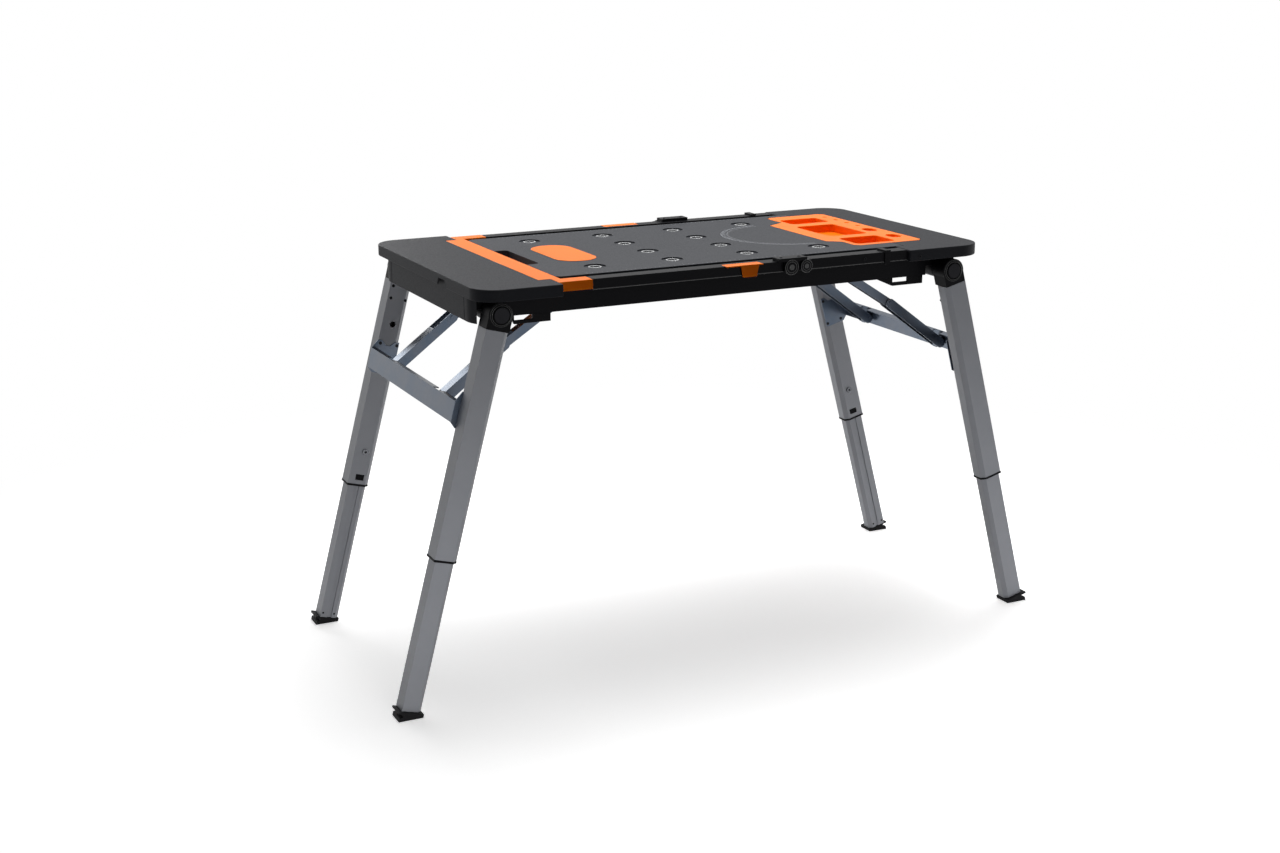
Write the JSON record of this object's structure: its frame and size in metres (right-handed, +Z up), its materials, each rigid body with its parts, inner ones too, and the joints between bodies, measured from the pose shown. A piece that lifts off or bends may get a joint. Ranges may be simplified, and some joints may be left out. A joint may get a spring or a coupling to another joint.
{
  "type": "folding workbench",
  "caption": "Portable folding workbench: a dark perforated top with tool tray on four splayed telescoping legs with hinged braces.",
  "frame": {"origin": "on the floor, under the middle of the four feet", "axes": "+X along the bench towards the tray end, +Y across it to the far side, +Z up"},
  "size_m": [1.4204, 0.612, 0.7979],
  "materials": {
    "dark_plastic": "grained moulded plastic",
    "deck_composite": "grained board",
    "dark_aluminium": "black anodised extrusion",
    "grey_aluminium": "grey anodised tube",
    "zinc_steel": "zinc plated sheet",
    "bright_steel": "turned steel",
    "black_steel": "blackened steel",
    "orange_plastic": "orange moulded plastic",
    "black_plastic": "black moulded plastic",
    "black_rubber": "moulded rubber"
  },
  "bodies": {
    "top_frame": {"left_end_cap": "dark_plastic", "right_end_cap": "dark_plastic", "edge_band": "orange_plastic", "near_left_rail": "dark_aluminium", "near_right_rail": "dark_aluminium", "far_left_rail": "dark_aluminium", "far_right_rail": "dark_aluminium", "near_hinge_link": "dark_aluminium", "far_hinge_link": "dark_aluminium", "near_lower_beam": "dark_aluminium", "far_lower_beam": "dark_aluminium", "left_cross_member": "zinc_steel", "right_cross_member": "zinc_steel", "left_apron": "dark_plastic", "left_corner_posts": "dark_plastic", "under_beam_brackets": "black_plastic", "leg_pivot_bolts": "black_steel", "rail_clips": "black_plastic", "rail_screws": "black_steel"},
    "deck": {"deck_board": "deck_composite", "dog_hole_bushings": "bright_steel", "oval_pad": "orange_plastic"},
    "tray": {"tool_tray": "orange_plastic"},
    "near_latch_lever": {"near_latch": "orange_plastic"},
    "far_latch_lever": {"far_latch": "orange_plastic"},
    "left_legs": {"near_left_upper_tube": "grey_aluminium", "far_left_upper_tube": "grey_aluminium", "near_left_leg_head": "black_plastic", "far_left_leg_head": "black_plastic", "left_end_collars": "black_plastic", "left_crossbar": "zinc_steel", "left_leg_rivets": "bright_steel"},
    "near_left_lower_leg": {"near_left_lower_tube": "grey_aluminium", "near_left_foot": "black_rubber"},
    "near_left_plunger": {"near_left_lock_plunger": "bright_steel"},
    "near_left_lower_link": {"near_left_lower_brace_link": "zinc_steel"},
    "near_left_upper_link": {"near_left_upper_brace_link": "zinc_steel"},
    "far_left_lower_leg": {"far_left_lower_tube": "grey_aluminium", "far_left_foot": "black_rubber"},
    "far_left_plunger": {"far_left_lock_plunger": "bright_steel"},
    "far_left_lower_link": {"far_left_lower_brace_link": "zinc_steel"},
    "far_left_upper_link": {"far_left_upper_brace_link": "zinc_steel"},
    "right_legs": {"near_right_upper_tube": "grey_aluminium", "far_right_upper_tube": "grey_aluminium", "near_right_leg_head": "black_plastic", "far_right_leg_head": "black_plastic", "right_end_collars": "black_plastic", "right_crossbar": "zinc_steel", "right_leg_rivets": "bright_steel"},
    "near_right_lower_leg": {"near_right_lower_tube": "grey_aluminium", "near_right_foot": "black_rubber"},
    "near_right_plunger": {"near_right_lock_plunger": "bright_steel"},
    "near_right_lower_link": {"near_right_lower_brace_link": "zinc_steel"},
    "near_right_upper_link": {"near_right_upper_brace_link": "zinc_steel"},
    "far_right_lower_leg": {"far_right_lower_tube": "grey_aluminium", "far_right_foot": "black_rubber"},
    "far_right_plunger": {"far_right_lock_plunger": "bright_steel"},
    "far_right_lower_link": {"far_right_lower_brace_link": "zinc_steel"},
    "far_right_upper_link": {"far_right_upper_brace_link": "zinc_steel"}
  },
  "joints": [
    {"name": "deck_lift", "type": "slide", "parent": "top_frame", "child": "deck", "axis": [0, 0, 1], "range_m": [0, 0.12]},
    {"name": "tray_lift", "type": "slide", "parent": "deck", "child": "tray", "axis": [0, 0, 1], "range_m": [0, 0.08]},
    {"name": "near_latch_flip", "type": "hinge", "parent": "top_frame", "child": "near_latch_lever", "pos_m": [0.0095, -0.262, 0.79], "axis": [-1, 0, 0], "range_deg": [0, 35]},
    {"name": "far_latch_flip", "type": "hinge", "parent": "top_frame", "child": "far_latch_lever", "pos_m": [0.0095, 0.262, 0.79], "axis": [1, 0, 0], "range_deg": [0, 35]},
    {"name": "left_legs_fold", "type": "hinge", "parent": "top_frame", "child": "left_legs", "pos_m": [-0.487, 0, 0.74], "axis": [0, -1, 0], "range_deg": [0, 104]},
    {"name": "near_left_lower_leg_slide", "type": "slide", "parent": "left_legs", "child": "near_left_lower_leg", "axis": [0.2588, 0, 0.9659], "range_m": [0, 0.286]},
    {"name": "near_left_plunger_pull", "type": "slide", "parent": "left_legs", "child": "near_left_plunger", "axis": [0, 1, 0], "range_m": [0, 0.0028], "stiffness_N_per_m": 800},
    {"name": "near_left_lower_link_turn", "type": "hinge", "parent": "left_legs", "child": "near_left_lower_link", "pos_m": [-0.55862, -0.14, 0.55772], "axis": [0, -1, 0], "range_deg": [0, 34.1]},
    {"name": "near_left_upper_link_turn", "type": "hinge", "parent": "top_frame", "child": "near_left_upper_link", "pos_m": [-0.2925, -0.14, 0.741], "axis": [0, -1, 0], "range_deg": [-28.6, 0]},
    {"name": "far_left_lower_leg_slide", "type": "slide", "parent": "left_legs", "child": "far_left_lower_leg", "axis": [0.2588, 0, 0.9659], "range_m": [0, 0.286]},
    {"name": "far_left_plunger_pull", "type": "slide", "parent": "left_legs", "child": "far_left_plunger", "axis": [0, -1, 0], "range_m": [0, 0.0028], "stiffness_N_per_m": 800},
    {"name": "far_left_lower_link_turn", "type": "hinge", "parent": "left_legs", "child": "far_left_lower_link", "pos_m": [-0.55862, 0.14, 0.55772], "axis": [0, -1, 0], "range_deg": [0, 34.1]},
    {"name": "far_left_upper_link_turn", "type": "hinge", "parent": "top_frame", "child": "far_left_upper_link", "pos_m": [-0.2925, 0.14, 0.741], "axis": [0, -1, 0], "range_deg": [-28.6, 0]},
    {"name": "right_legs_fold", "type": "hinge", "parent": "top_frame", "child": "right_legs", "pos_m": [0.487, 0, 0.74], "axis": [0, 1, 0], "range_deg": [0, 104]},
    {"name": "near_right_lower_leg_slide", "type": "slide", "parent": "right_legs", "child": "near_right_lower_leg", "axis": [-0.2588, 0, 0.9659], "range_m": [0, 0.286]},
    {"name": "near_right_plunger_pull", "type": "slide", "parent": "right_legs", "child": "near_right_plunger", "axis": [0, 1, 0], "range_m": [0, 0.0028], "stiffness_N_per_m": 800},
    {"name": "near_right_lower_link_turn", "type": "hinge", "parent": "right_legs", "child": "near_right_lower_link", "pos_m": [0.55862, -0.14, 0.55772], "axis": [0, 1, 0], "range_deg": [0, 34.1]},
    {"name": "near_right_upper_link_turn", "type": "hinge", "parent": "top_frame", "child": "near_right_upper_link", "pos_m": [0.2925, -0.14, 0.741], "axis": [0, 1, 0], "range_deg": [-28.6, 0]},
    {"name": "far_right_lower_leg_slide", "type": "slide", "parent": "right_legs", "child": "far_right_lower_leg", "axis": [-0.2588, 0, 0.9659], "range_m": [0, 0.286]},
    {"name": "far_right_plunger_pull", "type": "slide", "parent": "right_legs", "child": "far_right_plunger", "axis": [0, -1, 0], "range_m": [0, 0.0028], "stiffness_N_per_m": 800},
    {"name": "far_right_lower_link_turn", "type": "hinge", "parent": "right_legs", "child": "far_right_lower_link", "pos_m": [0.55862, 0.14, 0.55772], "axis": [0, 1, 0], "range_deg": [0, 34.1]},
    {"name": "far_right_upper_link_turn", "type": "hinge", "parent": "top_frame", "child": "far_right_upper_link", "pos_m": [0.2925, 0.14, 0.741], "axis": [0, 1, 0], "range_deg": [-28.6, 0]}
  ],
  "couplings": [
    {"joint": "near_left_lower_link_turn", "follows": "left_legs_fold", "ratio": 0.32649},
    {"joint": "near_left_upper_link_turn", "follows": "left_legs_fold", "ratio": -0.27333},
    {"joint": "far_left_lower_link_turn", "follows": "left_legs_fold", "ratio": 0.32649},
    {"joint": "far_left_upper_link_turn", "follows": "left_legs_fold", "ratio": -0.27333},
    {"joint": "near_right_lower_link_turn", "follows": "right_legs_fold", "ratio": 0.32649},
    {"joint": "near_right_upper_link_turn", "follows": "right_legs_fold", "ratio": -0.27333},
    {"joint": "far_right_lower_link_turn", "follows": "right_legs_fold", "ratio": 0.32649},
    {"joint": "far_right_upper_link_turn", "follows": "right_legs_fold", "ratio": -0.27333}
  ]
}
